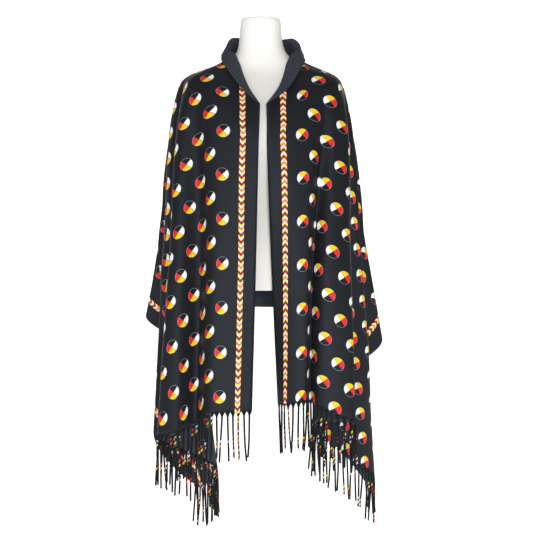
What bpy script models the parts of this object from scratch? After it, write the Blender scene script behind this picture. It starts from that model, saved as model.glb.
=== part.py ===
"""A long printed shawl with fringed ends, worn open on a headless dress form.

The shawl is one rectangle of light cloth. It lies over the form's shoulders with its upper
edge turned out as a collar, hangs straight down at both fronts and falls in knife folds at
the sides. The cut is given beside the drape: each fold is a straight line on the flat cloth.
"""
import math
from collections import namedtuple

import bmesh
import bpy
from mathutils import Vector

MM = 0.001

# Driving sizes
CLOTH_WIDTH = 700 * MM
CLOTH_THICKNESS = 2.0 * MM
STRAND_LENGTH = 113 * MM
STRAND_THICKNESS = 4.0 * MM
STRAND_COUNT = 53
STRIP_HEIGHT = 5.0 * MM
STRIP_THICKNESS = 2.4 * MM
PIECE_GAP = 0.4 * MM
FOLD_STEP = 31 * MM
FORM_CLEARANCE = 2.6 * MM
COLLAR_ROLL = 0.75
FORM_ROUND = 44

# The form's level sections, from its flat underside to the top of the neck
Section = namedtuple("Section", "z half_width half_depth x y")
FORM = [
    Section(0, 146, 104, 0, 0),
    Section(60, 153, 109, 0, 0),
    Section(130, 139, 100, 0, 0),
    Section(215, 114, 87, 0, 0),
    Section(295, 125, 100, 0, -4),
    Section(353, 138, 114, -1, -8),
    Section(402, 149, 108, -1, -4),
    Section(441, 164, 93, -2, 0),
    Section(473.5, 174, 80, -2, 5),
    Section(496.4, 172, 69, -3, 9),
    Section(513, 156, 61, -3, 12),
    Section(528, 126, 57, -4, 14),
    Section(542, 95, 55, -5, 14),
    Section(554.8, 72, 54, -6, 14),
    Section(572.4, 57, 53, -7, 13),
    Section(598, 51, 52, -8, 10),
    Section(645, 49, 50, -8, 4),
    Section(650, 46, 47, -8, 4),
]
FORM_SQUARENESS = 2.3

# Each row is one fold, from the front edge round to the centre back. The first six columns
# are its places in space, in mm: on the turned-out edge, on the collar's fold, at the neck's
# foot, on the shoulder, at the waist and on the hem. The last three are its places on the
# flat cloth, along it from the centre back and across it from the upper edge.
Fold = namedtuple("Fold", "name edge neck foot shoulder waist hem cut_neck cut_shoulder cut_hem")
LEFT_FOLDS = [
    Fold("front edge", (-9, -122, 433), (-9, -122, 433), (-10, -129, 390), (-12, -134, 335),
         (-18, -138, 60), (-27, -142, -276), (344, 0), (442, 0), (1054, 0)),
    Fold("stripe", (-50, -99, 470), (-37, -86, 479), (-48, -98, 440), (-66, -119, 385),
         (-74, -142, 60), (-84, -148, -279), (282, 20), (384, 48), (1054, 60)),
    Fold("panel fold", (-94, -44, 534), (-64, -30, 560), (-80, -50, 520), (-118, -88, 448),
         (-121, -138, 60), (-128, -150, -282), (182, 42), (316, 96), (1054, 110)),
    Fold("first valley", (-102, -22, 549), (-70, -12, 582), (-86, -30, 540), (-150, -62, 476),
         (-148, -94, 60), (-160, -104, -308), (164, 46), (276, 134), (1054, 170)),
    Fold("second ridge", (-102, -6, 560), (-75, 5, 600), (-95, -16, 548), (-177, -46, 485),
         (-195, -118, 60), (-204, -146, -327), (146, 49), (249, 175), (1054, 230)),
    Fold("second turn", (-104, 6, 563), (-77, 15, 605), (-95, -6, 551), (-188, -28, 488),
         (-222, -98, 60), (-246, -118, -342), (131, 50), (230, 190), (1054, 308)),
    Fold("deep valley", (-104, 14, 564), (-77, 22, 607), (-95, 2, 552), (-192, -12, 490),
         (-170, -38, 60), (-112, -52, -415), (117, 50), (216, 197), (1054, 510)),
    Fold("lower corner", (-103, 26, 566), (-76, 32, 609), (-95, 12, 553), (-201, 2, 490),
         (-212, -30, 60), (-171, 85, -478), (104, 50), (204, 204), (1054, 700)),
    Fold("third ridge", (-97, 38, 567), (-72, 42, 611), (-90, 24, 553), (-204, 14, 487),
         (-242, 0, 60), (-270, 62, -348), (89, 50), (194, 210), (894, 700)),
    Fold("inner valley", (-87, 52, 567), (-66, 52, 612), (-84, 38, 552), (-204, 27, 484),
         (-178, 32, 60), (-150, 76, -185), (73, 50), (182, 216), (654, 700)),
    Fold("elbow", (-74, 66, 566), (-58, 60, 612), (-76, 50, 550), (-202, 42, 479),
         (-266, 64, 60), (-291, 98, -69), (59, 50), (167, 222), (439, 700)),
    Fold("side valley", (-54, 81, 565), (-45, 70, 612), (-54, 66, 545), (-180, 72, 474),
         (-192, 80, 60), (-196, 96, -28), (42, 50), (144, 228), (314, 700)),
    Fold("back ridge", (-31, 92, 565), (-25, 80, 613), (-31, 78, 548), (-110, 102, 462),
         (-160, 142, 60), (-172, 162, -33), (22, 50), (89, 216), (209, 700)),
    Fold("back valley", (-17, 95, 564), (-14, 84, 612), (-17, 84, 549), (-54, 104, 466),
         (-92, 116, 60), (-98, 110, -40), (11, 50), (44, 206), (116, 700)),
    Fold("centre back", (-3, 97, 563), (-3, 86, 612), (-3, 86, 550), (0, 106, 474),
         (0, 134, 60), (0, 150, -45), (0, 50), (0, 190), (0, 700)),
]
RIGHT_FOLDS = [
    Fold("front edge", (6, -122, 433), (6, -122, 433), (7, -129, 390), (7, -134, 335),
         (17, -132, 60), (32, -112, -263), (345, 0), (443, 0), (1042, 0)),
    Fold("stripe", (54, -98, 470), (36, -86, 479), (46, -98, 440), (62, -119, 385),
         (62, -146, 60), (55, -146, -260), (283, 26), (385, 48), (1042, 45)),
    Fold("panel fold", (92, -43, 533), (62, -30, 558), (78, -50, 520), (110, -88, 448),
         (104, -140, 60), (96, -150, -253), (183, 42), (315, 96), (1042, 93)),
    Fold("first valley", (99, -21, 548), (67, -12, 580), (83, -30, 540), (138, -66, 472),
         (112, -108, 60), (106, -113, -256), (165, 46), (281, 130), (1042, 133)),
    Fold("second ridge", (96, -6, 557), (69, 2, 596), (87, -16, 546), (160, -56, 480),
         (138, -136, 60), (124, -145, -264), (149, 49), (259, 160), (1042, 168)),
    Fold("second face", (97, 1, 560), (70, 9, 601), (88, -10, 548), (176, -42, 484),
         (174, -130, 60), (168, -150, -284), (141, 50), (245, 176), (1042, 216)),
    Fold("second turn", (97, 8, 562), (70, 15, 604), (88, -5, 550), (184, -28, 486),
         (202, -108, 60), (212, -130, -304), (132, 50), (233, 190), (1042, 265)),
    Fold("deep valley", (97, 16, 563), (70, 22, 606), (88, 2, 554), (187, -12, 489),
         (166, -40, 60), (112, -66, -318), (118, 50), (219, 198), (1042, 385)),
    Fold("third ridge", (96, 27, 565), (69, 32, 608), (88, 12, 554), (190, 2, 486),
         (231, -14, 60), (269, 88, -456), (105, 50), (207, 206), (1042, 640)),
    Fold("lower corner", (91, 36, 566), (66, 40, 609), (84, 22, 554), (191, 12, 485),
         (226, -2, 60), (251, 120, -478), (91, 50), (197, 212), (1042, 700)),
    Fold("inner valley", (81, 52, 566), (60, 52, 610), (78, 38, 552), (191, 27, 482),
         (174, 28, 60), (140, 82, -270), (74, 50), (183, 218), (765, 700)),
    Fold("elbow", (68, 66, 565), (52, 60, 610), (70, 50, 550), (188, 42, 479),
         (258, 66, 60), (293, 112, -127), (59, 50), (168, 222), (540, 700)),
    Fold("side valley", (48, 81, 564), (38, 70, 610), (48, 66, 545), (176, 72, 470),
         (186, 80, 60), (178, 102, -45), (42, 50), (145, 228), (355, 700)),
    Fold("back ridge", (25, 92, 564), (19, 80, 611), (25, 78, 547), (106, 103, 460),
         (156, 142, 60), (174, 168, -42), (22, 50), (89, 216), (241, 700)),
    Fold("back valley", (11, 95, 564), (8, 84, 612), (11, 84, 549), (52, 104, 466),
         (92, 116, 60), (98, 108, -43), (11, 50), (45, 206), (132, 700)),
    LEFT_FOLDS[-1],
]
# Rows of mesh between neighbouring places of a fold
BAND_ROWS = (3, 3, 3, 5, 5)


def clear_scene():
    for thing in list(bpy.data.objects):
        bpy.data.objects.remove(thing)


def material(name, colour, roughness):
    """One plain Principled finish."""
    made = bpy.data.materials.new(name)
    made.use_nodes = True
    shader = made.node_tree.nodes["Principled BSDF"]
    shader.inputs["Base Color"].default_value = (*colour, 1)
    shader.inputs["Roughness"].default_value = roughness
    made.diffuse_color = (*colour, 1)
    return made


def add_object(name, mesh, finish, home):
    piece = bpy.data.objects.new(name, mesh)
    home.objects.link(piece)
    mesh.materials.append(finish)
    return piece


def form_section(z):
    """The form's half width, half depth and centre at one height, in metres."""
    z = min(max(z / MM, FORM[0].z), FORM[-1].z)
    for low, high in zip(FORM, FORM[1:]):
        if z <= high.z:
            break
    share = (z - low.z) / (high.z - low.z)
    return [(a + (b - a) * share) * MM for a, b in zip(low[1:], high[1:])]


def form_outline(z):
    """Points round the form at one height: an oval with slightly squared corners."""
    half_width, half_depth, x, y = form_section(z)
    power = 2 / FORM_SQUARENESS
    points = []
    for step in range(FORM_ROUND):
        turn = 2 * math.pi * step / FORM_ROUND
        across = math.copysign(abs(math.cos(turn)) ** power, math.cos(turn))
        ahead = math.copysign(abs(math.sin(turn)) ** power, math.sin(turn))
        points.append(Vector((x + half_width * across, y + half_depth * ahead, z)))
    return points


def make_form(finish, home):
    """The torso and neck: a loft through the level sections, closed below and above."""
    bm = bmesh.new()
    rings = []
    for section in FORM:
        rings.append([bm.verts.new(p) for p in form_outline(section.z * MM)])
    for low, high in zip(rings, rings[1:]):
        for i in range(FORM_ROUND):
            j = (i + 1) % FORM_ROUND
            bm.faces.new((low[i], low[j], high[j], high[i]))
    bm.faces.new(reversed(rings[0]))
    bm.faces.new(rings[-1])
    mesh = bpy.data.meshes.new("form")
    bm.to_mesh(mesh)
    bm.free()
    mesh.shade_smooth()
    return add_object("dress_form", mesh, finish, home)


def hermite(p1, slope1, p2, slope2, t):
    """A curve from p1 to p2 that leaves and arrives along the given slopes."""
    a = 2 * t ** 3 - 3 * t ** 2 + 1
    b = t ** 3 - 2 * t ** 2 + t
    c = -2 * t ** 3 + 3 * t ** 2
    d = t ** 3 - t ** 2
    return p1 * a + slope1 * b + p2 * c + slope2 * d


def cubic(p, k, t):
    """A smooth curve between the middle two of four points, through uneven knots."""
    span = k[2] - k[1]
    return hermite(p[1], (p[2] - p[0]) * (span / (k[2] - k[0])),
                   p[2], (p[3] - p[1]) * (span / (k[3] - k[1])), t)


def stations(fold, side):
    """A fold's six places, and their places on the flat cloth, in metres."""
    places = [Vector(p) * MM for p in (fold.edge, fold.neck, fold.foot, fold.shoulder, fold.waist, fold.hem)]
    neck, shoulder, hem = [Vector((side * cut[0], cut[1], 0)) * MM
                           for cut in (fold.cut_neck, fold.cut_shoulder, fold.cut_hem)]
    gap = [(b - a).length for a, b in zip(places, places[1:])]
    foot = neck.lerp(shoulder, gap[1] / (gap[1] + gap[2]))
    waist = shoulder.lerp(hem, gap[3] / (gap[3] + gap[4]))
    edge = Vector((neck.x, 0, 0))
    return places, [edge, neck, foot, shoulder, waist, hem]


def all_folds():
    """Every fold in order, from the left front edge round the back to the right one."""
    left = [stations(f, -1) for f in LEFT_FOLDS]
    right = [stations(f, 1) for f in RIGHT_FOLDS[:-1]]
    return left + right[::-1]


def off_form(point, clearance):
    """Moves a point out of the form's inflated section, straight away from its axis."""
    if point.z > FORM[-1].z * MM or point.z < -20 * MM:
        return point
    half_width, half_depth, x, y = form_section(point.z)
    across = abs(point.x - x) / (half_width + clearance)
    ahead = abs(point.y - y) / (half_depth + clearance)
    size = (across ** FORM_SQUARENESS + ahead ** FORM_SQUARENESS) ** (1 / FORM_SQUARENESS)
    if size >= 1:
        return point
    return Vector((x + (point.x - x) / size, y + (point.y - y) / size, point.z))


class Drape:
    """The shawl's surface: across the folds, and down along them."""

    def __init__(self):
        folds = all_folds()
        self.places = [f[0] for f in folds]
        self.cuts = [f[1] for f in folds]
        self.knots = [0.0]
        for a, b in zip(self.cuts, self.cuts[1:]):
            self.knots.append(self.knots[-1] + (a[5] - b[5]).length)

    def along(self, fold, band, t):
        """A point down one fold, in one of its five bands, rounded where the collar rolls over."""
        places = self.places[fold]
        length = [max((b - a).length, 1 * MM) for a, b in zip(places, places[1:])]
        span = length[band]
        slopes = []
        for at in (band, band + 1):
            if at == 0:
                way = (places[1] - places[0]) / length[0]
            elif at == 1:
                way = (places[2] - places[0]).normalized() * COLLAR_ROLL
            elif at == len(places) - 1:
                way = (places[at] - places[at - 1]) / length[at - 1]
            else:
                way = (places[at + 1] - places[at - 1]) / (length[at] + length[at - 1])
            slopes.append(way * span)
        return hermite(places[band], slopes[0], places[band + 1], slopes[1], t)

    def point(self, span, share, band, t):
        """A point between two folds, on a smooth curve through them and their neighbours."""
        last = len(self.places) - 1
        p = [self.along(min(max(span + k, 0), last), band, t) for k in (-1, 0, 1, 2)]
        if span == 0:
            p[0] = p[1] * 2 - p[2]
        if span + 2 > last:
            p[3] = p[2] * 2 - p[1]
        k = [0.0]
        for a, b in zip(p, p[1:]):
            k.append(k[-1] + math.sqrt(max((b - a).length, 1 * MM)))
        return off_form(cubic(p, k, share), FORM_CLEARANCE)


def columns(drape):
    """Where the mesh's lines run across the folds: more where the folds lie far apart."""
    lines = []
    for span, (a, b) in enumerate(zip(drape.knots, drape.knots[1:])):
        count = max(2, math.ceil((b - a) / FOLD_STEP))
        lines += [(span, i / count) for i in range(count)]
    lines.append((len(drape.knots) - 2, 1.0))
    return lines


def rows():
    """Where the mesh's lines run down the folds."""
    lines = []
    for band, count in enumerate(BAND_ROWS):
        lines += [(band, i / count) for i in range(count)]
    lines.append((len(BAND_ROWS) - 1, 1.0))
    return lines


def make_shawl(drape, finish, home):
    """The cloth: one open surface through the folds, given its thickness by Solidify."""
    bm = bmesh.new()
    grid = [[bm.verts.new(drape.point(*c, *r)) for r in rows()] for c in columns(drape)]
    for left, right in zip(grid, grid[1:]):
        for i in range(len(left) - 1):
            bm.faces.new((left[i], left[i + 1], right[i + 1], right[i]))
    bmesh.ops.remove_doubles(bm, verts=bm.verts, dist=0.1 * MM)
    mesh = bpy.data.meshes.new("shawl")
    bm.to_mesh(mesh)
    bm.free()
    mesh.shade_smooth()
    piece = add_object("shawl_cloth", mesh, finish, home)
    shell = piece.modifiers.new("thickness", "SOLIDIFY")
    shell.thickness = CLOTH_THICKNESS
    shell.offset = 0
    return piece


def hem_path(drape, side):
    """The fringed end as fine points from the front corner to the lower corner."""
    last = len(drape.knots) - 1
    spans = range(last) if side < 0 else range(last - 1, -1, -1)
    path = []
    for span in spans:
        low = drape.cuts[span][5].y
        high = drape.cuts[span + 1][5].y
        if abs(drape.cuts[span][5].x - drape.cuts[span + 1][5].x) > 1 * MM:
            break
        for i in range(13):
            share = i / 12 if side < 0 else 1 - i / 12
            path.append((low + (high - low) * share, drape.point(span, share, 4, 1.0)))
    return path


def hem_point(path, v):
    """The hem's place at a distance across the cloth."""
    for (v0, p0), (v1, p1) in zip(path, path[1:]):
        if v1 > v0 and v0 <= v <= v1:
            return p0.lerp(p1, (v - v0) / (v1 - v0))
    return path[-1][1]


def make_fringe(name, drape, side, finish, home):
    """One end's fringe: a narrow strip under the hem with the strands drawn out of it."""
    path = hem_path(drape, side)
    pitch = CLOTH_WIDTH / STRAND_COUNT
    stops = []
    for i in range(STRAND_COUNT):
        middle = (i + 0.5) * pitch
        stops += [middle - STRAND_THICKNESS / 2, middle + STRAND_THICKNESS / 2]
    top = CLOTH_THICKNESS / 2 + PIECE_GAP
    bm = bmesh.new()
    rings = []
    for v in stops:
        centre = hem_point(path, v)
        way = hem_point(path, min(v + 4 * MM, CLOTH_WIDTH)) - hem_point(path, max(v - 4 * MM, 0))
        way.z = 0
        across = Vector((-way.y, way.x, 0)).normalized() * (STRIP_THICKNESS / 2)
        ring = []
        for sideways, drop in ((-1, 0), (1, 0), (1, STRIP_HEIGHT), (-1, STRIP_HEIGHT)):
            ring.append(bm.verts.new(centre + across * sideways - Vector((0, 0, top + drop))))
        rings.append(ring)
    for number, (a, b) in enumerate(zip(rings, rings[1:])):
        for i, j in ((0, 1), (1, 2), (3, 0)):
            bm.faces.new((a[i], a[j], b[j], b[i]))
        if number % 2:
            bm.faces.new((a[2], a[3], b[3], b[2]))
        else:
            draw_strand(bm, (a[2], a[3], b[3], b[2]), number // 2)
    bm.faces.new(rings[0])
    bm.faces.new(reversed(rings[-1]))
    bmesh.ops.recalc_face_normals(bm, faces=bm.faces)
    mesh = bpy.data.meshes.new(name)
    bm.to_mesh(mesh)
    bm.free()
    return add_object(name, mesh, finish, home)


def draw_strand(bm, root, number):
    """Draws one strand down out of the strip, hanging slightly aslant and tapering."""
    centre = sum((v.co for v in root), Vector()) / 4
    lean = Vector((math.sin(number * 2.4), math.cos(number * 1.7), 0)) * 3 * MM
    length = STRAND_LENGTH * (1 + 0.04 * math.sin(number * 1.9))
    ring = list(root)
    for share, width in ((0.5, 0.95), (1.0, 0.8)):
        middle = centre + lean * share - Vector((0, 0, length * share))
        lower = []
        for vert in root:
            spread = (vert.co - centre) * width
            spread.z = 0
            lower.append(bm.verts.new(middle + spread))
        for i in range(4):
            j = (i + 1) % 4
            bm.faces.new((ring[i], ring[j], lower[j], lower[i]))
        ring = lower
    bm.faces.new(ring)


def main():
    clear_scene()
    home = bpy.data.collections.new("shawl_on_dress_form")
    bpy.context.scene.collection.children.link(home)
    linen = material("form_linen", (0.80, 0.78, 0.73), 0.85)
    charcoal = material("shawl_charcoal", (0.020, 0.021, 0.025), 0.75)
    strand = material("fringe_charcoal", (0.018, 0.018, 0.022), 0.80)
    drape = Drape()
    make_form(linen, home)
    make_shawl(drape, charcoal, home)
    make_fringe("fringe_left", drape, -1, strand, home)
    make_fringe("fringe_right", drape, 1, strand, home)


main()
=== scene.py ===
"""The looks of a long printed shawl with fringed ends, worn open on a plain dress form.

The script runs from top to bottom: first the camera and the studio, then the dress form,
the shawl and its two fringes, each in a section of its own with its sizes and materials.
"""
import math
from collections import namedtuple

import bmesh
import bpy
import numpy as np
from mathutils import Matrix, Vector, noise


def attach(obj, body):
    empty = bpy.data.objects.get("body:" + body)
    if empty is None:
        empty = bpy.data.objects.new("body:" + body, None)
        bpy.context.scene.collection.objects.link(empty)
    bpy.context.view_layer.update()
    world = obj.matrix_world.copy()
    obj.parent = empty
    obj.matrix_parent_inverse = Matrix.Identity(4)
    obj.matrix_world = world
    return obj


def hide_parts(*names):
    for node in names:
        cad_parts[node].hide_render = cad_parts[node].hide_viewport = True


MM = 0.001
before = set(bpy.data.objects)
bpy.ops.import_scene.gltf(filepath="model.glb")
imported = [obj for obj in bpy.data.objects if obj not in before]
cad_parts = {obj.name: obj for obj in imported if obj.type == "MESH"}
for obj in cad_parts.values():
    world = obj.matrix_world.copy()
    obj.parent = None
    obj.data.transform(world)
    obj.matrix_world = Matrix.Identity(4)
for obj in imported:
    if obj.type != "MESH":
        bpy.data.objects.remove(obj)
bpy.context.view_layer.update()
bpy.ops.object.select_all(action="DESELECT")


# The camera. It stands 3.5 m in front of the form, level, at the height of the shawl's
# middle, with a long lens, so the shawl's far folds look hardly smaller than its fronts.
CAMERA_DISTANCE = 3500 * MM
CAMERA_ASIDE = 6 * MM
CAMERA_HEIGHT = 56.4 * MM
SENSOR_WIDTH = 36
# The picture is 533 pixels wide, and a pixel is 2.4 mm at the form
PICTURE_WIDTH = 533 * 2.4 * MM
bpy.ops.object.camera_add(
    location=(CAMERA_ASIDE, -CAMERA_DISTANCE, CAMERA_HEIGHT), rotation=(math.pi / 2, 0, 0))
camera = bpy.context.object
camera.data.sensor_width = SENSOR_WIDTH
camera.data.lens = SENSOR_WIDTH * CAMERA_DISTANCE / PICTURE_WIDTH
bpy.context.scene.camera = camera


# The studio. A pale paper sweep lies on the floor, nine tenths of a metre under the form as
# on a stand, and rises behind it in a wide bend. A soft lamp stands in front of the form,
# and two weak ones at its left and over it.
def from_hex(colour):
    """A colour as Blender wants it: sRGB hex turned linear."""
    parts = [int(colour[i:i + 2], 16) / 255 for i in (1, 3, 5)]
    return tuple(c / 12.92 if c <= 0.04045 else ((c + 0.055) / 1.055) ** 2.4 for c in parts) + (1.0,)


def add_node(tree, kind, sockets, **settings):
    """Adds a node with its settings; each socket takes a plain value or another node's output."""
    made = tree.nodes.new("ShaderNode" + kind)
    for name, value in settings.items():
        setattr(made, name, value)
    for name, value in sockets.items():
        if isinstance(value, bpy.types.NodeSocket):
            tree.links.new(value, made.inputs[name])
        else:
            made.inputs[name].default_value = value
    return made


def new_material(name, roughness):
    """An empty material with its Principled shader."""
    made = bpy.data.materials.new(name)
    made.use_nodes = True
    shader = made.node_tree.nodes["Principled BSDF"]
    shader.inputs["Roughness"].default_value = roughness
    return made, made.node_tree, shader


FLOOR_DROP = 930 * MM
SWEEP_SIZE = 14
SWEEP_CENTRE = -1.0
SWEEP_RISE = 6
SWEEP_BEND = 1.5
bpy.ops.mesh.primitive_plane_add(size=SWEEP_SIZE, location=(0, SWEEP_CENTRE, -FLOOR_DROP))
sweep = bpy.context.object
sweep.name = "paper_sweep"
bpy.ops.object.transform_apply(location=True, rotation=False, scale=False)
bpy.ops.object.mode_set(mode="EDIT")
bpy.ops.mesh.select_mode(type="EDGE")
bpy.ops.mesh.select_all(action="DESELECT")
bpy.ops.object.mode_set(mode="OBJECT")
for edge in sweep.data.edges:
    edge.select = all(sweep.data.vertices[v].co.y > SWEEP_CENTRE for v in edge.vertices)
bpy.ops.object.mode_set(mode="EDIT")
bpy.ops.mesh.extrude_region_move(TRANSFORM_OT_translate={"value": (0, 0, SWEEP_RISE)})
bpy.ops.object.mode_set(mode="OBJECT")
rounding = sweep.modifiers.new("rounding", "BEVEL")
rounding.width = SWEEP_BEND
rounding.segments = 10
bpy.ops.object.modifier_apply(modifier="rounding")
bpy.ops.object.shade_smooth()

# Matt white studio paper: it glows, as paper does under background lamps of its own
paper, tree, shader = new_material("studio_paper", 0.9)
grain = add_node(tree, "TexNoise", {"Scale": 3.0, "Detail": 2.0})
shades = {0: grain.outputs["Fac"], 6: from_hex("#FAFAF9"), 7: from_hex("#FFFFFF")}
tint = add_node(tree, "Mix", shades, data_type="RGBA")
tree.links.new(tint.outputs[2], shader.inputs["Base Color"])
shader.inputs["Emission Color"].default_value = from_hex("#FFFFFF")
shader.inputs["Emission Strength"].default_value = 0.82
sweep.data.materials.append(paper)

# Each lamp's place and size in metres, and its power in watts. All are aimed at the chest.
Lamp = namedtuple("Lamp", "name place size power")
LAMP_AIM = Vector((0, 0, 100)) * MM
LAMPS = [
    Lamp("side", (-1.7, -2.9, 1.0), 0.8, 8),
    Lamp("front", (0.3, -3.9, 0.25), 0.6, 80),
    Lamp("top", (0.0, -0.4, 2.6), 1.2, 4),
]
for lamp in LAMPS:
    aim = (LAMP_AIM - Vector(lamp.place)).to_track_quat("-Z", "Y").to_euler()
    bpy.ops.object.light_add(type="AREA", location=lamp.place, rotation=aim)
    light = bpy.context.object
    light.name = lamp.name + "_lamp"
    light.data.size = lamp.size
    light.data.energy = lamp.power

# Past the paper's edges the studio's far walls look pale, though little light comes from them
WALL_LIGHT = 0.22
WALL_LOOK = 0.8
studio = bpy.data.worlds.new("studio")
bpy.context.scene.world = studio
studio.use_nodes = True
tree = studio.node_tree
walls = tree.nodes["Background"]
walls.inputs["Color"].default_value = from_hex("#FFFFFF")
seen = add_node(tree, "LightPath", {}).outputs["Is Camera Ray"]
glow = add_node(tree, "MapRange", {0: seen, 3: WALL_LIGHT, 4: WALL_LOOK})
tree.links.new(glow.outputs[0], walls.inputs["Strength"])
# Plain colour management, so that printed colours stay as bright as they are
bpy.context.scene.view_settings.view_transform = "Standard"


# The dress form. A padded torso and neck under an off-white knitted cover, ending in a flat
# underside. It is a rounded copy of its solid, whose facets would show through a soft cover.
MERGE = 0.05 * MM
UNDERSIDE_ROUNDING = 1.5 * MM
bpy.ops.object.select_all(action="DESELECT")
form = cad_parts["dress_form"].copy()
form.data = form.data.copy()
form.name = "padded_form"
bpy.context.collection.objects.link(form)
form.select_set(True)
bpy.context.view_layer.objects.active = form
bpy.ops.object.mode_set(mode="EDIT")
bpy.ops.mesh.select_all(action="SELECT")
bpy.ops.mesh.remove_doubles(threshold=MERGE)
bpy.ops.mesh.tris_convert_to_quads(face_threshold=0.5, shape_threshold=0.7)
bpy.ops.object.mode_set(mode="OBJECT")
rounding = form.modifiers.new("rounding", "BEVEL")
rounding.width = UNDERSIDE_ROUNDING
rounding.segments = 2
rounding.limit_method = "ANGLE"
rounding.angle_limit = math.radians(60)
smoothing = form.modifiers.new("smoothing", "SUBSURF")
smoothing.levels = 1
smoothing.render_levels = 1
bpy.ops.object.modifier_apply(modifier="rounding")
bpy.ops.object.modifier_apply(modifier="smoothing")
bpy.ops.object.shade_smooth_by_angle(angle=math.radians(40))

# Cotton jersey: matt and warm white, with fine upright ribs that catch a soft light. A rib is
# 1.6 mm wide where the form is 74 cm round, twice a real one, which would be too fine to show.
RIB = 1.6 * MM
FORM_ROUND = 740 * MM
jersey, tree, shader = new_material("cotton_jersey", 0.88)
place = add_node(tree, "TexCoord", {}).outputs["Object"]
axes = add_node(tree, "SeparateXYZ", {0: place})
turn = add_node(tree, "Math", {0: axes.outputs[0], 1: axes.outputs[1]}, operation="ARCTAN2")
rib = add_node(tree, "Math", {0: turn.outputs[0], 1: FORM_ROUND / RIB}, operation="MULTIPLY")
rib = add_node(tree, "Math", {0: rib.outputs[0]}, operation="SINE")
nap = add_node(tree, "TexNoise", {"Vector": place, "Scale": 420.0, "Detail": 3.0})
raised = {0: rib.outputs[0], 1: 0.35, 2: nap.outputs["Fac"]}
relief = add_node(tree, "Math", raised, operation="MULTIPLY_ADD")
cloudy = add_node(tree, "TexNoise", {"Vector": place, "Scale": 9.0, "Detail": 2.0})
shades = {0: cloudy.outputs["Fac"], 6: from_hex("#EDEBE5"), 7: from_hex("#F4F2ED")}
tint = add_node(tree, "Mix", shades, data_type="RGBA")
bump = add_node(tree, "Bump", {"Strength": 0.35, "Distance": 0.5 * MM, "Height": relief.outputs[0]})
tree.links.new(tint.outputs[2], shader.inputs["Base Color"])
tree.links.new(bump.outputs[0], shader.inputs["Normal"])
shader.inputs["Sheen Weight"].default_value = 0.1
shader.inputs["Sheen Roughness"].default_value = 0.6
form.data.materials.clear()
form.data.materials.append(jersey)
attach(form, "root")
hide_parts("dress_form")


# The shawl's cloth. One rectangle of light brushed twill, 2.10 m by 0.70 m, printed on its
# face and plain on its reverse. It is laid over both shoulders, and its upper edge is turned
# out as a collar round the neck. Lengths on the flat cloth run from its centre back.
CLOTH_WIDTH = 700 * MM
LEFT_LENGTH = 1054 * MM
RIGHT_LENGTH = 1042 * MM
CLOTH_THICKNESS = 1.0 * MM
FORM_CLEARANCE = 2.2 * MM

# The form's level sections, which the cloth keeps clear of
Section = namedtuple("Section", "z half_width half_depth x y")
FORM = [
    Section(0, 146, 104, 0, 0),
    Section(60, 153, 109, 0, 0),
    Section(130, 139, 100, 0, 0),
    Section(215, 114, 87, 0, 0),
    Section(295, 125, 100, 0, -4),
    Section(353, 138, 114, -1, -8),
    Section(402, 149, 108, -1, -4),
    Section(441, 164, 93, -2, 0),
    Section(473.5, 174, 80, -2, 5),
    Section(496.4, 172, 69, -3, 9),
    Section(513, 156, 61, -3, 12),
    Section(528, 126, 57, -4, 14),
    Section(542, 95, 55, -5, 14),
    Section(554.8, 72, 54, -6, 14),
    Section(572.4, 57, 53, -7, 13),
    Section(598, 51, 52, -8, 10),
    Section(645, 49, 50, -8, 4),
    Section(650, 46, 47, -8, 4),
]
FORM_SQUARENESS = 2.3
# How far under the form the cloth still keeps clear of it
FORM_UNDER = 20 * MM

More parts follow.
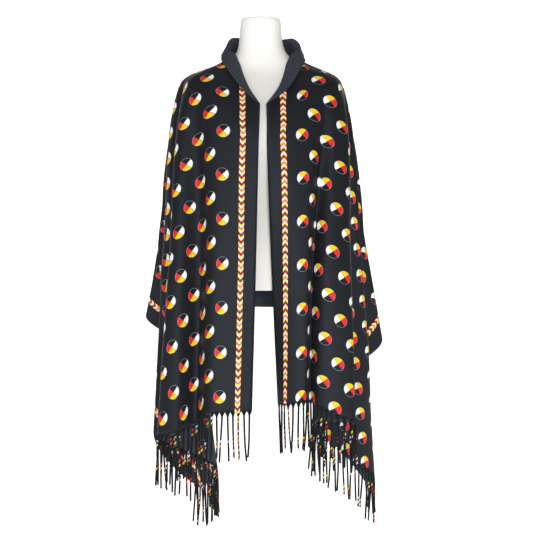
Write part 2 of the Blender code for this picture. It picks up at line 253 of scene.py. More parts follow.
# Each row is one fold, from the front edge round to the centre back. The first six columns
# are its places in space, in mm: on the turned-out edge, on the collar's fold, at the neck's
# foot, on the shoulder, at the waist and on the hem. The last three are its places on the
# flat cloth, along it from the centre back and across it from the upper edge.
Fold = namedtuple("Fold", "name edge neck foot shoulder waist hem cut_neck cut_shoulder cut_hem")
LEFT_FOLDS = [
    Fold("front edge", (-9, -122, 433), (-9, -122, 433), (-10, -129, 390), (-12, -134, 335),
         (-18, -138, 60), (-27, -142, -276), (344, 0), (442, 0), (1054, 0)),
    Fold("stripe", (-50, -99, 470), (-37, -86, 479), (-48, -98, 440), (-66, -119, 385),
         (-74, -142, 60), (-84, -148, -279), (282, 20), (390, 54), (1054, 60)),
    Fold("panel fold", (-94, -44, 534), (-66, -30, 557), (-80, -50, 520), (-118, -88, 448),
         (-121, -138, 60), (-128, -150, -282), (182, 42), (324, 109), (1054, 110)),
    Fold("first valley", (-102, -22, 549), (-78, -16, 570), (-86, -30, 540), (-150, -62, 476),
         (-148, -94, 60), (-160, -104, -308), (164, 46), (284, 142), (1054, 170)),
    Fold("second ridge", (-102, -6, 560), (-88, -2, 580), (-95, -16, 548), (-177, -46, 485),
         (-195, -118, 60), (-204, -146, -327), (146, 49), (258, 174), (1054, 230)),
    Fold("second turn", (-104, 6, 563), (-86, 8, 590), (-95, -6, 551), (-188, -28, 488),
         (-222, -98, 60), (-246, -118, -342), (131, 50), (240, 188), (1054, 308)),
    Fold("deep valley", (-104, 14, 564), (-81, 20, 602), (-95, 2, 552), (-192, -12, 490),
         (-170, -38, 60), (-112, -52, -415), (117, 50), (226, 198), (1054, 510)),
    Fold("lower corner", (-103, 26, 566), (-77, 32, 608), (-95, 12, 553), (-201, 2, 490),
         (-212, -30, 60), (-171, 85, -478), (104, 50), (213, 205), (1054, 700)),
    Fold("third ridge", (-97, 38, 567), (-72, 42, 611), (-90, 24, 553), (-204, 14, 487),
         (-242, 0, 60), (-270, 62, -348), (89, 50), (202, 211), (894, 700)),
    Fold("inner valley", (-87, 52, 567), (-66, 52, 612), (-84, 38, 552), (-204, 27, 484),
         (-178, 32, 60), (-150, 76, -185), (73, 50), (189, 217), (654, 700)),
    Fold("elbow", (-74, 66, 566), (-58, 60, 612), (-76, 50, 550), (-202, 42, 479),
         (-266, 64, 60), (-291, 98, -69), (59, 50), (173, 223), (439, 700)),
    Fold("side valley", (-54, 81, 565), (-45, 70, 612), (-54, 66, 545), (-180, 72, 474),
         (-192, 80, 60), (-196, 96, -28), (42, 50), (148, 228), (314, 700)),
    Fold("back ridge", (-31, 92, 565), (-25, 80, 613), (-31, 78, 548), (-110, 102, 462),
         (-160, 142, 60), (-172, 162, -33), (22, 50), (89, 216), (209, 700)),
    Fold("back valley", (-17, 95, 564), (-14, 84, 612), (-17, 84, 549), (-54, 104, 466),
         (-92, 116, 60), (-98, 110, -40), (11, 50), (44, 206), (116, 700)),
    Fold("centre back", (-3, 97, 563), (-3, 86, 612), (-3, 86, 550), (0, 106, 474),
         (0, 134, 60), (0, 150, -45), (0, 50), (0, 190), (0, 700)),
]
RIGHT_FOLDS = [
    Fold("front edge", (6, -122, 433), (6, -122, 433), (7, -129, 390), (7, -134, 335),
         (17, -132, 60), (32, -112, -263), (345, 0), (443, 0), (1042, 0)),
    Fold("stripe", (54, -98, 470), (36, -86, 479), (46, -98, 440), (62, -119, 385),
         (62, -146, 60), (55, -146, -260), (283, 26), (391, 54), (1042, 45)),
    Fold("panel fold", (92, -43, 533), (60, -32, 553), (78, -50, 520), (110, -88, 448),
         (104, -140, 60), (96, -150, -253), (183, 42), (326, 109), (1042, 93)),
    Fold("first valley", (99, -21, 548), (72, -16, 569), (83, -30, 540), (138, -66, 472),
         (112, -108, 60), (106, -113, -256), (165, 46), (292, 138), (1042, 133)),
    Fold("second ridge", (96, -6, 557), (83, -2, 584), (87, -16, 546), (160, -56, 480),
         (138, -136, 60), (124, -145, -264), (149, 49), (268, 160), (1042, 168)),
    Fold("second face", (97, 1, 560), (84, 5, 590), (88, -10, 548), (176, -42, 484),
         (174, -130, 60), (168, -150, -284), (141, 50), (254, 172), (1042, 216)),
    Fold("second turn", (97, 8, 562), (80, 13, 597), (88, -5, 550), (184, -28, 486),
         (202, -108, 60), (212, -130, -304), (132, 50), (243, 184), (1042, 265)),
    Fold("deep valley", (97, 16, 563), (75, 22, 603), (88, 2, 554), (187, -12, 489),
         (166, -40, 60), (112, -66, -318), (118, 50), (230, 196), (1042, 385)),
    Fold("third ridge", (96, 27, 565), (70, 32, 607), (88, 12, 554), (190, 2, 486),
         (231, -14, 60), (269, 88, -456), (105, 50), (217, 205), (1042, 640)),
    Fold("lower corner", (91, 36, 566), (66, 40, 609), (84, 22, 554), (191, 12, 485),
         (226, -2, 60), (251, 120, -478), (91, 50), (206, 212), (1042, 700)),
    Fold("inner valley", (81, 52, 566), (60, 52, 610), (78, 38, 552), (191, 27, 482),
         (174, 28, 60), (140, 82, -270), (74, 50), (192, 218), (765, 700)),
    Fold("elbow", (68, 66, 565), (52, 60, 610), (70, 50, 550), (188, 42, 479),
         (258, 66, 60), (293, 112, -127), (59, 50), (176, 224), (540, 700)),
    Fold("side valley", (48, 81, 564), (38, 70, 610), (48, 66, 545), (176, 72, 470),
         (186, 80, 60), (178, 102, -45), (42, 50), (150, 230), (355, 700)),
    Fold("back ridge", (25, 92, 564), (19, 80, 611), (25, 78, 547), (106, 103, 460),
         (156, 142, 60), (174, 168, -42), (22, 50), (89, 216), (241, 700)),
    Fold("back valley", (11, 95, 564), (8, 84, 612), (11, 84, 549), (52, 104, 466),
         (92, 116, 60), (98, 108, -43), (11, 50), (45, 206), (132, 700)),
    LEFT_FOLDS[-1],
]
# How wide the collar's fold is rounded, and the mesh's rows in each of a fold's five bands and
# its columns' step along the hem
COLLAR_ROLL = 0.75
BAND_ROWS = (12, 9, 10, 26, 36)
COLUMN_STEP = 9 * MM
FEWEST_COLUMNS = 5

# Soft creases of the worn cloth, by their ends on the flat cloth, along it and across it, and
# their width and height, all in mm. A crease with a height below nothing is a trough.
Crease = namedtuple("Crease", "name from_u from_v to_u to_v width height")
CREASES = [
    Crease("left chest pull", -300, 110, -520, 95, 14, 2.2),
    Crease("left chest trough", -330, 150, -620, 135, 16, -2.4),
    Crease("left panel ripple", -560, 150, -900, 140, 20, 2.0),
    Crease("left front sag", -430, 25, -760, 22, 12, -1.2),
    Crease("left shoulder pull", -200, 210, -340, 330, 18, 2.6),
    Crease("left side trough", -340, 470, -610, 600, 26, -4.0),
    Crease("left side ridge", -420, 420, -760, 520, 24, 3.4),
    Crease("left low ripple", -800, 560, -990, 640, 22, 3.0),
    Crease("right chest pull", 290, 120, 560, 100, 15, 2.0),
    Crease("right chest trough", 300, 170, 640, 150, 18, -2.2),
    Crease("right front sag", 420, 22, 780, 20, 12, -1.0),
    Crease("right shoulder pull", 200, 215, 360, 330, 18, 2.4),
    Crease("right side trough", 330, 480, 640, 610, 26, -3.6),
    Crease("right side ridge", 430, 400, 800, 520, 24, 3.2),
    Crease("right low ripple", 780, 480, 990, 560, 22, 2.6),
    Crease("back pull left", -120, 230, -190, 520, 22, 2.8),
    Crease("back pull right", 125, 235, 210, 520, 22, 2.8),
    Crease("back sag", -60, 330, 70, 345, 26, 2.0),
    Crease("left collar pinch", -235, 8, -215, 40, 9, -1.6),
    Crease("left collar roll", -160, 20, -110, 26, 10, 1.4),
    Crease("right collar pinch", 225, 8, 205, 42, 9, -1.6),
    Crease("right collar roll", 150, 20, 100, 26, 10, 1.4),
]
# Uneven wear between the creases: its height, and how many swells there are to the metre
Swell = namedtuple("Swell", "height to_the_metre layer")
SWELLS = [Swell(0.7 * MM, 14, 3.0), Swell(0.35 * MM, 38, 7.0)]


def curve_between(p1, slope1, p2, slope2, t):
    """A curve from p1 to p2 that leaves and arrives along the given slopes."""
    a = 2 * t ** 3 - 3 * t ** 2 + 1
    b = t ** 3 - 2 * t ** 2 + t
    c = -2 * t ** 3 + 3 * t ** 2
    d = t ** 3 - t ** 2
    return p1 * a + slope1 * b + p2 * c + slope2 * d


def stations(fold, side):
    """A fold's six places, and their places on the flat cloth, in metres."""
    in_space = (fold.edge, fold.neck, fold.foot, fold.shoulder, fold.waist, fold.hem)
    places = [Vector(p) * MM for p in in_space]
    on_cloth = (fold.cut_neck, fold.cut_shoulder, fold.cut_hem)
    neck, shoulder, hem = [Vector((side * cut[0], cut[1], 0)) * MM for cut in on_cloth]
    gap = [(b - a).length for a, b in zip(places, places[1:])]
    foot = neck.lerp(shoulder, gap[1] / (gap[1] + gap[2]))
    waist = shoulder.lerp(hem, gap[3] / (gap[3] + gap[4]))
    edge = Vector((neck.x, 0, 0))
    return places, [edge, neck, foot, shoulder, waist, hem]


left_side = [stations(f, -1) for f in LEFT_FOLDS]
right_side = [stations(f, 1) for f in RIGHT_FOLDS[:-1]]
fold_places = [f[0] for f in left_side + right_side[::-1]]
fold_cuts = [f[1] for f in left_side + right_side[::-1]]


def off_form(point, clearance):
    """Moves a point out of the form's widened section, straight away from its axis."""
    if point.z > FORM[-1].z * MM or point.z < -FORM_UNDER:
        return point
    z = max(point.z / MM, FORM[0].z)
    low, high = next((a, b) for a, b in zip(FORM, FORM[1:]) if z <= b.z)
    share = (z - low.z) / (high.z - low.z)
    half_width, half_depth, x, y = [(a + (b - a) * share) * MM for a, b in zip(low[1:], high[1:])]
    across = abs(point.x - x) / (half_width + clearance)
    ahead = abs(point.y - y) / (half_depth + clearance)
    size = (across ** FORM_SQUARENESS + ahead ** FORM_SQUARENESS) ** (1 / FORM_SQUARENESS)
    if size >= 1:
        return point
    return Vector((x + (point.x - x) / size, y + (point.y - y) / size, point.z))


def along(fold, band, t):
    """A point down one fold, in one of its five bands, rounded where the collar rolls over."""
    places = fold_places[fold]
    length = [max((b - a).length, 1 * MM) for a, b in zip(places, places[1:])]
    slopes = []
    for at in (band, band + 1):
        if at == 0:
            way = (places[1] - places[0]) / length[0]
        elif at == 1:
            way = (places[2] - places[0]).normalized() * COLLAR_ROLL
        elif at == len(places) - 1:
            way = (places[at] - places[at - 1]) / length[at - 1]
        else:
            way = (places[at + 1] - places[at - 1]) / (length[at] + length[at - 1])
        slopes.append(way * length[band])
    return curve_between(places[band], slopes[0], places[band + 1], slopes[1], t)


def cloth_point(span, share, band, t):
    """A point between two folds, on a smooth curve through them and their neighbours."""
    last = len(fold_places) - 1
    p = [along(min(max(span + k, 0), last), band, t) for k in (-1, 0, 1, 2)]
    if span == 0:
        p[0] = p[1] * 2 - p[2]
    if span + 2 > last:
        p[3] = p[2] * 2 - p[1]
    k = [0.0]
    for a, b in zip(p, p[1:]):
        k.append(k[-1] + math.sqrt(max((b - a).length, 1 * MM)))
    step = k[2] - k[1]
    leaving = (p[2] - p[0]) * (step / (k[2] - k[0]))
    arriving = (p[3] - p[1]) * (step / (k[3] - k[1]))
    return curve_between(p[1], leaving, p[2], arriving, share)


def cut_point(span, share, band, t):
    """The same point's place on the flat cloth."""
    left = fold_cuts[span][band].lerp(fold_cuts[span][band + 1], t)
    right = fold_cuts[span + 1][band].lerp(fold_cuts[span + 1][band + 1], t)
    return left.lerp(right, share)


def crease_height(cut):
    """How far the worn cloth stands off its smooth drape at a place on the flat cloth."""
    height = 0.0
    for swell in SWELLS:
        spot = Vector((cut.x * swell.to_the_metre, cut.y * swell.to_the_metre, swell.layer))
        height += swell.height * noise.noise(spot)
    for crease in CREASES:
        start = Vector((crease.from_u, crease.from_v, 0)) * MM
        run = Vector((crease.to_u, crease.to_v, 0)) * MM - start
        share = (cut - start).dot(run) / run.length_squared
        if -0.3 < share < 1.3:
            away = (cut - start - run * share).length / (crease.width * MM)
            fade = max(0.0, 1 - abs(share - 0.5) ** 3 / 0.4)
            height += crease.height * MM * fade * math.exp(-away * away)
    return height


columns = []
for span, (a, b) in enumerate(zip(fold_cuts, fold_cuts[1:])):
    count = max(FEWEST_COLUMNS, math.ceil((a[-1] - b[-1]).length / COLUMN_STEP))
    columns += [(span, i / count) for i in range(count)]
columns.append((len(fold_cuts) - 2, 1.0))
rows = []
for band, count in enumerate(BAND_ROWS):
    rows += [(band, i / count) for i in range(count)]
rows.append((len(BAND_ROWS) - 1, 1.0))
drape = [[cloth_point(*c, *r) for r in rows] for c in columns]
flat = [[cut_point(*c, *r) for r in rows] for c in columns]

# Woven cloth hardly stretches, so the places on the flat cloth are eased until each link between
# neighbours is nearly as long there as in the drape. Fronts, collar, hem and lower edge stay put,
# and a weak hold keeps the other places near those in the table.
EASING_ROUNDS = 900
EASING_HOLD = 0.0004
EASING_PUSH = 0.06
EASING_CARRY = 0.94
SHORTEST_LINK = 0.01 * MM
worn = np.array([[p[:] for p in line] for line in drape])
cuts = np.array([[p[:2] for p in line] for line in flat])
free = np.ones(cuts.shape)
free[:, :sum(BAND_ROWS[:2])] = 0
free[:, -1] = 0
free[[i for i, (span, _) in enumerate(columns) if span < 2 or span > len(fold_cuts) - 4]] = 0
every, after, before = slice(None), slice(1, None), slice(None, -1)
links = [((after, every), (before, every)), ((every, after), (every, before)),
         ((after, after), (before, before)), ((after, before), (before, after))]
lengths = [np.linalg.norm(worn[a] - worn[b], axis=2, keepdims=True) for a, b in links]
drawn = cuts.copy()
speed = np.zeros(cuts.shape)
for _ in range(EASING_ROUNDS):
    speed = speed * EASING_CARRY + (drawn - cuts) * EASING_HOLD
    for (a, b), length in zip(links, lengths):
        run = cuts[a] - cuts[b]
        now = np.maximum(np.linalg.norm(run, axis=2, keepdims=True), SHORTEST_LINK)
        push = run * ((length / now - 1) * EASING_PUSH)
        speed[a] += push
        speed[b] -= push
    speed *= free
    cuts += speed
flat = [[Vector((*place, 0)) for place in line] for line in cuts.tolist()]


def face_normal(i, j):
    """The printed side's direction at one point of the drape."""
    across = drape[min(i + 1, len(columns) - 1)][j] - drape[max(i - 1, 0)][j]
    down = drape[i][min(j + 1, len(rows) - 1)] - drape[i][max(j - 1, 0)]
    return across.cross(down).normalized()


def worn_point(i, j):
    """A point of the drape with its creases, kept clear of the form."""
    point = drape[i][j] + face_normal(i, j) * crease_height(flat[i][j])
    return off_form(point, FORM_CLEARANCE)


bm = bmesh.new()
cut_map = bm.loops.layers.uv.new("cut")
grid = [[bm.verts.new(worn_point(i, j)) for j in range(len(rows))] for i in range(len(columns))]
for i in range(len(columns) - 1):
    for j in range(len(rows) - 1):
        corners = ((i, j), (i + 1, j), (i + 1, j + 1), (i, j + 1))
        face = bm.faces.new([grid[a][b] for a, b in corners])
        face.smooth = True
        for loop, (a, b) in zip(face.loops, corners):
            loop[cut_map].uv = flat[a][b].xy
bmesh.ops.remove_doubles(bm, verts=bm.verts, dist=MERGE)
mesh = bpy.data.meshes.new("shawl")
bm.to_mesh(mesh)
bm.free()
shawl = bpy.data.objects.new("printed_shawl", mesh)
bpy.context.collection.objects.link(shawl)

# Brushed twill, printed through its nap: near-black charcoal with a soft bluish gloss where it
# faces the light, and flat bright colours. The print is a plain half-drop layout of quartered
# discs, with a chevron stripe along each long edge.
DISC_PITCH = 102.4 * MM
DISC_COLUMN = 32 * MM
FIRST_COLUMN = 80 * MM
DISC_START = 6 * MM
DISC_RADIUS = 15.0 * MM
DISC_EDGE = 0.5 * MM
RIM_HALF = 0.45 * MM
QUARTER_EDGE = 0.25 * MM
LINE_INNER, LINE_OUTER = 0.3 * MM, 0.8 * MM
# The discs' field ends this many columns outside its first and last ones
FIELD_ABOVE, FIELD_BELOW = 0.5, 0.65
STRIPE_FROM_EDGE = 35.5 * MM
STRIPE_HALF = 6.3 * MM
STRIPE_EDGE = 0.4 * MM
CHEVRON_STEEPNESS = 1.2
BAND_WIDTH = 4.05 * MM
CHARCOAL = "#151619"
YELLOW = "#F6CB00"
WHITE = "#F4F4F6"
RED = "#E0281E"
INK = "#121216"
RING = "#7E838C"
# The chevrons' colours in order along the stripe; this repeat is eleven bands long
CHEVRON_BANDS = (INK, RED, WHITE, YELLOW, INK, RED, WHITE, YELLOW, RED, WHITE, YELLOW)


def print_colour(tree, cut):
    """The printed colour at a place on the flat cloth, as a node output."""
    axes = add_node(tree, "SeparateXYZ", {0: cut})
    u, v = axes.outputs[0], axes.outputs[1]
    centres = []
    for shift_u, shift_v in ((0, 0), (DISC_PITCH / 2, DISC_COLUMN)):
        du = add_node(tree, "Math", {0: u, 1: DISC_START + shift_u}, operation="SUBTRACT")
        turns = {0: du.outputs[0], 1: DISC_PITCH / 2, 2: -DISC_PITCH / 2}
        du = add_node(tree, "Math", turns, operation="WRAP")
        dv = add_node(tree, "Math", {0: v, 1: FIRST_COLUMN + shift_v}, operation="SUBTRACT")
        dv = add_node(tree, "Math", {0: dv.outputs[0], 1: DISC_COLUMN, 2: -DISC_COLUMN}, operation="WRAP")
        away = add_node(tree, "CombineXYZ", {0: du.outputs[0], 1: dv.outputs[0]})
        far = add_node(tree, "VectorMath", {0: away.outputs[0]}, operation="LENGTH")
        centres.append((away.outputs[0], far.outputs["Value"]))
    nearer = add_node(tree, "Math", {0: centres[1][1], 1: centres[0][1]}, operation="LESS_THAN")
    either = {0: nearer.outputs[0], 4: centres[0][0], 5: centres[1][0]}
    away = add_node(tree, "Mix", either, data_type="VECTOR")
    far = add_node(tree, "Math", {0: centres[0][1], 1: centres[1][1]}, operation="MINIMUM")
    axes = add_node(tree, "SeparateXYZ", {0: away.outputs[1]})
    rising = add_node(tree, "Math", {0: axes.outputs[0], 1: axes.outputs[1]}, operation="ADD")
    falling = add_node(tree, "Math", {0: axes.outputs[0], 1: axes.outputs[1]}, operation="SUBTRACT")
    over_rising = add_node(tree, "MapRange", {0: rising.outputs[0], 1: -QUARTER_EDGE, 2: QUARTER_EDGE})
    over_falling = add_node(tree, "MapRange", {0: falling.outputs[0], 1: -QUARTER_EDGE, 2: QUARTER_EDGE})
    pair = {0: over_rising.outputs[0], 6: from_hex(WHITE), 7: from_hex(INK)}
    upper = add_node(tree, "Mix", pair, data_type="RGBA")
    pair = {0: over_rising.outputs[0], 6: from_hex(YELLOW), 7: from_hex(RED)}
    lower = add_node(tree, "Mix", pair, data_type="RGBA")
    pair = {0: over_falling.outputs[0], 6: lower.outputs[2], 7: upper.outputs[2]}
    quarters = add_node(tree, "Mix", pair, data_type="RGBA")
    # A dark line parts the quarters
    on_rising = add_node(tree, "Math", {0: rising.outputs[0]}, operation="ABSOLUTE")
    on_falling = add_node(tree, "Math", {0: falling.outputs[0]}, operation="ABSOLUTE")
    line = add_node(tree, "Math", {0: on_rising.outputs[0], 1: on_falling.outputs[0]}, operation="MINIMUM")
    line = add_node(tree, "MapRange", {0: line.outputs[0], 1: LINE_INNER, 2: LINE_OUTER})
    pair = {0: line.outputs[0], 6: from_hex(INK), 7: quarters.outputs[2]}
    quarters = add_node(tree, "Mix", pair, data_type="RGBA")
    # A thin pale ring goes round each disc, and no disc lies outside the field
    inside = add_node(tree, "MapRange", {0: far.outputs[0], 1: DISC_RADIUS, 2: DISC_RADIUS - DISC_EDGE})
    rim = add_node(tree, "Math", {0: far.outputs[0], 1: DISC_RADIUS, 2: RIM_HALF}, operation="COMPARE")
    field_top = FIRST_COLUMN - DISC_COLUMN * FIELD_ABOVE
    field_foot = CLOTH_WIDTH - FIRST_COLUMN + DISC_COLUMN * FIELD_BELOW
    low = add_node(tree, "Math", {0: v, 1: field_top}, operation="GREATER_THAN")
    high = add_node(tree, "Math", {0: v, 1: field_foot}, operation="LESS_THAN")
    field = add_node(tree, "Math", {0: low.outputs[0], 1: high.outputs[0]}, operation="MULTIPLY")
    inside = add_node(tree, "Math", {0: inside.outputs[0], 1: field.outputs[0]}, operation="MULTIPLY")
    rim = add_node(tree, "Math", {0: rim.outputs[0], 1: field.outputs[0]}, operation="MULTIPLY")
    pair = {0: inside.outputs[0], 6: from_hex(CHARCOAL), 7: quarters.outputs[2]}
    colour = add_node(tree, "Mix", pair, data_type="RGBA")
    pair = {0: rim.outputs[0], 6: colour.outputs[2], 7: from_hex(RING)}
    colour = add_node(tree, "Mix", pair, data_type="RGBA")
    # Both stripes at once: the distance from the cloth's middle, less that of a stripe
    stripe_place = CLOTH_WIDTH / 2 - STRIPE_FROM_EDGE
    side = add_node(tree, "Math", {0: v, 1: CLOTH_WIDTH / 2}, operation="SUBTRACT")
    side = add_node(tree, "Math", {0: side.outputs[0]}, operation="ABSOLUTE")
    side = add_node(tree, "Math", {0: side.outputs[0], 1: stripe_place}, operation="SUBTRACT")
    side = add_node(tree, "Math", {0: side.outputs[0]}, operation="ABSOLUTE")
    bent = {0: side.outputs[0], 1: -CHEVRON_STEEPNESS, 2: u}
    slant = add_node(tree, "Math", bent, operation="MULTIPLY_ADD")
    repeat = BAND_WIDTH * len(CHEVRON_BANDS)
    cycle = add_node(tree, "Math", {0: slant.outputs[0], 1: repeat}, operation="DIVIDE")
    cycle = add_node(tree, "Math", {0: cycle.outputs[0], 1: 1.0, 2: 0.0}, operation="WRAP")
    bands = add_node(tree, "ValToRGB", {0: cycle.outputs[0]})
    ramp = bands.color_ramp
    ramp.interpolation = "CONSTANT"
    for number, shade in enumerate(CHEVRON_BANDS):
        stop = ramp.elements[0] if number == 0 else ramp.elements.new(number / len(CHEVRON_BANDS))
        stop.color = from_hex(shade)
    ramp.elements.remove(ramp.elements[-1])
    in_stripe = add_node(tree, "MapRange", {0: side.outputs[0], 1: STRIPE_HALF, 2: STRIPE_HALF - STRIPE_EDGE})
    pair = {0: in_stripe.outputs[0], 6: colour.outputs[2], 7: bands.outputs[0]}
    return add_node(tree, "Mix", pair, data_type="RGBA").outputs[2]


# The twill's ribs lie every 1.1 mm here: the real ones, half that, are too fine to show
TWILL_RIB = 1.1 * MM


def brushed_twill(name, roughness, colour):
    """A soft twill's nodes: slanting ribs and a short nap, with the colour a little uneven."""
    made, tree, shader = new_material(name, roughness)
    cut = add_node(tree, "UVMap", {}, uv_map="cut").outputs[0]
    axes = add_node(tree, "SeparateXYZ", {0: cut})
    slant = add_node(tree, "Math", {0: axes.outputs[0], 1: axes.outputs[1]}, operation="ADD")
    ribs = add_node(tree, "Math", {0: slant.outputs[0], 1: 2 * math.pi / TWILL_RIB}, operation="MULTIPLY")
    ribs = add_node(tree, "Math", {0: ribs.outputs[0]}, operation="SINE")
    nap = add_node(tree, "TexNoise", {"Vector": cut, "Scale": 900.0, "Detail": 3.0, "Roughness": 0.7})
    raised = {0: ribs.outputs[0], 1: 0.25, 2: nap.outputs["Fac"]}
    relief = add_node(tree, "Math", raised, operation="MULTIPLY_ADD")
    bump = add_node(tree, "Bump", {"Strength": 0.4, "Distance": 0.35 * MM, "Height": relief.outputs[0]})
    tree.links.new(bump.outputs[0], shader.inputs["Normal"])
    shade = from_hex(colour) if isinstance(colour, str) else colour(tree, cut)
    uneven = add_node(tree, "TexNoise", {"Vector": cut, "Scale": 260.0, "Detail": 4.0})
    uneven = add_node(tree, "MapRange", {0: uneven.outputs["Fac"], 3: 0.82, 4: 1.18})
    tint = add_node(tree, "HueSaturation", {"Value": uneven.outputs[0], "Color": shade})
    tree.links.new(tint.outputs[0], shader.inputs["Base Color"])
    shader.inputs["Sheen Weight"].default_value = 0.03
    shader.inputs["Sheen Roughness"].default_value = 0.5
    shader.inputs["Sheen Tint"].default_value = from_hex("#C9D3E0")
    shader.inputs["Specular IOR Level"].default_value = 0.3
    shader.inputs["Specular Tint"].default_value = from_hex("#D3DEF0")
    return made


shawl.data.materials.append(brushed_twill("printed_twill", 0.56, print_colour))
shawl.data.materials.append(brushed_twill("twill_reverse", 0.66, "#343940"))
shawl.data.materials.append(brushed_twill("twill_edge", 0.85, "#2A2C31"))
thick = shawl.modifiers.new("thickness", "SOLIDIFY")
thick.thickness = CLOTH_THICKNESS
thick.offset = 0
thick.material_offset = 1
thick.material_offset_rim = 2
bpy.context.view_layer.objects.active = shawl
bpy.ops.object.modifier_apply(modifier="thickness")
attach(shawl, "root")
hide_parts("shawl_cloth")


# The two fringes. The cloth's own yarns, left long at each end and twisted in groups of about
# thirteen millimetres of cloth, so each strand carries on the print in broken bands of colour.
STRAND_COUNT = 53
STRAND_LENGTH = 110 * MM
STRAND_RADIUS = 2.3 * MM
STRAND_TIP = 1.2 * MM
STRAND_SIDES = 6
STRAND_STEPS = 9
STRAND_TURN = 11 * MM
# How far to each side of its middle a strand's yarns come from, in strands
STRAND_SPREAD = 0.7
# A strand's length varies a little, and is shorter towards the cloth's lower edge
LENGTH_VARIES = 0.05
LENGTH_FALLS = 0.18
# How a strand's gathered yarns narrow: the distance down it, and half its width and depth
Gather = namedtuple("Gather", "down half_width half_depth")
GATHERS = [Gather(-1.5, 6.6, 0.8), Gather(2, 5.6, 1.0), Gather(6, 3.4, 1.7), Gather(11, 2.3, 2.0)]
# How far a strand strays at its tip, in mm
SWAY, SLOW_SWAY, CURL, AHEAD = 4, 3, 1.2, 4


def hem_path(end):
    """One fringed end's fine points, with their distance across the cloth."""
    path = []
    last = len(rows) - 1
    for i in range(len(columns)):
        cut = flat[i][last]
        if abs(cut.x - end) < 0.5 * MM:
            path.append((cut.y, worn_point(i, last)))
    return sorted(path, key=lambda p: p[0])


def hem_point(path, v):
    """The hem's place at a distance across the cloth."""
    for (v0, p0), (v1, p1) in zip(path, path[1:]):
        if v0 <= v <= v1 and v1 > v0:
            return p0.lerp(p1, (v - v0) / (v1 - v0))
    return path[-1][1]


def strand_way(number, side, share):
    """How far a strand strays sideways and forwards from its root, as it hangs."""
    sway = math.sin(number * 2.39 + side) * SWAY + math.sin(number * 0.83) * SLOW_SWAY
    curl = math.sin(share * (3.0 + 1.7 * math.sin(number * 1.3)) + number * 1.9) * CURL
    ahead = math.sin(number * 1.71 + 2 * side) * AHEAD
    return Vector((sway * share ** 1.5 + curl * share, ahead * share ** 1.5, 0)) * MM


def make_strand(bm, cut_map, turn_map, path, end, number):
    """One twisted strand: rings down its way, with the cloth's own print coordinates."""
    side = math.copysign(1, end)
    pitch = CLOTH_WIDTH / STRAND_COUNT
    v = (number + 0.5) * pitch
    root = hem_point(path, v)
    beside = 5 * MM
    way = hem_point(path, min(v + beside, CLOTH_WIDTH)) - hem_point(path, max(v - beside, 0))
    way.z = 0
    way.normalize()
    out = Vector((-way.y, way.x, 0))
    varied = LENGTH_VARIES * math.sin(number * 1.9 + side) - LENGTH_FALLS * (v / CLOTH_WIDTH) ** 4
    length = STRAND_LENGTH * (1 + varied)
    steps = [Gather(g.down * MM, g.half_width * MM, g.half_depth * MM) for g in GATHERS]
    gathered = steps[-1].down
    for i in range(1, STRAND_STEPS + 1):
        down = gathered + (length - gathered) * i / STRAND_STEPS
        steps.append(Gather(down, STRAND_RADIUS, STRAND_RADIUS))
    steps.append(Gather(length + STRAND_TIP, STRAND_RADIUS / 2, STRAND_RADIUS / 2))
    rings = []
    for step in steps:
        share = max(step.down, 0) / length
        centre = root - Vector((0, 0, step.down)) + strand_way(number, side, share)
        ring = []
        for k in range(STRAND_SIDES):
            turn = 2 * math.pi * k / STRAND_SIDES
            spot = centre + way * (math.cos(turn) * step.half_width)
            spot += out * (math.sin(turn) * step.half_depth)
            if step.down > 0:
                yarn = math.sin(turn + 2 * math.pi * step.down / STRAND_TURN)
            else:
                yarn = math.cos(turn)
            cut = (end + side * step.down, v + yarn * pitch * STRAND_SPREAD)
            ring.append((bm.verts.new(spot), cut, (k / STRAND_SIDES, step.down)))
        rings.append(ring)
    for a, b in zip(rings, rings[1:]):
        for k in range(STRAND_SIDES):
            m = (k + 1) % STRAND_SIDES
            corners = (a[k], b[k], b[m], a[m])
            face = bm.faces.new([c[0] for c in corners])
            face.smooth = True
            for spot, (loop, corner) in enumerate(zip(face.loops, corners)):
                loop[cut_map].uv = corner[1]
                around = (k + (spot in (2, 3))) / STRAND_SIDES
                loop[turn_map].uv = (around, corner[2][1])
    bm.faces.new([c[0] for c in rings[0]])
    bm.faces.new([c[0] for c in reversed(rings[-1])])


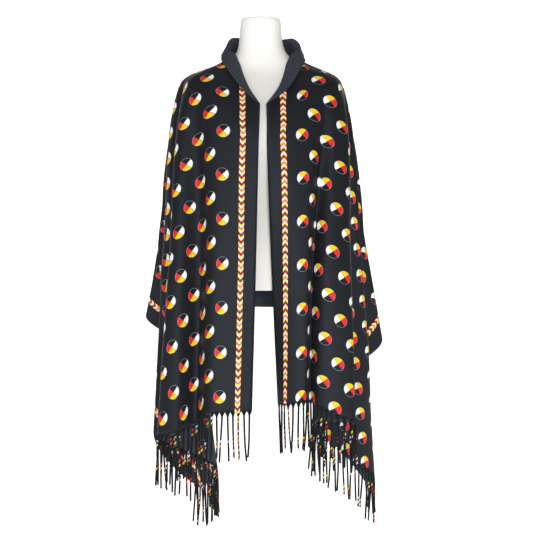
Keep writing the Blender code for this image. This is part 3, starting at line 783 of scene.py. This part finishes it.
# Twisted yarn: matt, with the twist's slanting lay as relief. Printed yarns and plain ones from
# the reverse wind round each other, so the print shows in every other half turn.
YARN_LAY = 5.5 * MM
twist, tree, shader = new_material("twisted_yarn", 0.85)
cut = add_node(tree, "UVMap", {}, uv_map="cut").outputs[0]
around = add_node(tree, "SeparateXYZ", {0: add_node(tree, "UVMap", {}, uv_map="turn").outputs[0]})
wound = {0: around.outputs[1], 1: 1 / YARN_LAY, 2: around.outputs[0]}
lay = add_node(tree, "Math", wound, operation="MULTIPLY_ADD")
lay = add_node(tree, "Math", {0: lay.outputs[0], 1: 4 * math.pi}, operation="MULTIPLY")
lay = add_node(tree, "Math", {0: lay.outputs[0]}, operation="SINE")
bump = add_node(tree, "Bump", {"Strength": 0.8, "Distance": 0.8 * MM, "Height": lay.outputs[0]})
wound = {0: around.outputs[1], 1: 1 / STRAND_TURN, 2: around.outputs[0]}
turn = add_node(tree, "Math", wound, operation="MULTIPLY_ADD")
turn = add_node(tree, "Math", {0: turn.outputs[0], 1: 1.0, 2: 0.0}, operation="WRAP")
plain = add_node(tree, "MapRange", {0: turn.outputs[0], 1: 0.5, 2: 0.56})
pair = {0: plain.outputs[0], 6: print_colour(tree, cut), 7: from_hex(CHARCOAL)}
mixed = add_node(tree, "Mix", pair, data_type="RGBA")
tree.links.new(mixed.outputs[2], shader.inputs["Base Color"])
tree.links.new(bump.outputs[0], shader.inputs["Normal"])
shader.inputs["Sheen Weight"].default_value = 0.03
shader.inputs["Specular IOR Level"].default_value = 0.2

for name, end in (("fringe_left", -LEFT_LENGTH), ("fringe_right", RIGHT_LENGTH)):
    bm = bmesh.new()
    cut_map = bm.loops.layers.uv.new("cut")
    turn_map = bm.loops.layers.uv.new("turn")
    path = hem_path(end)
    for number in range(STRAND_COUNT):
        make_strand(bm, cut_map, turn_map, path, end, number)
    bmesh.ops.recalc_face_normals(bm, faces=bm.faces)
    mesh = bpy.data.meshes.new(name + "_strands")
    bm.to_mesh(mesh)
    bm.free()
    fringe = bpy.data.objects.new(name + "_strands", mesh)
    bpy.context.collection.objects.link(fringe)
    mesh.materials.append(twist)
    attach(fringe, "root")
    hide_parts(name)
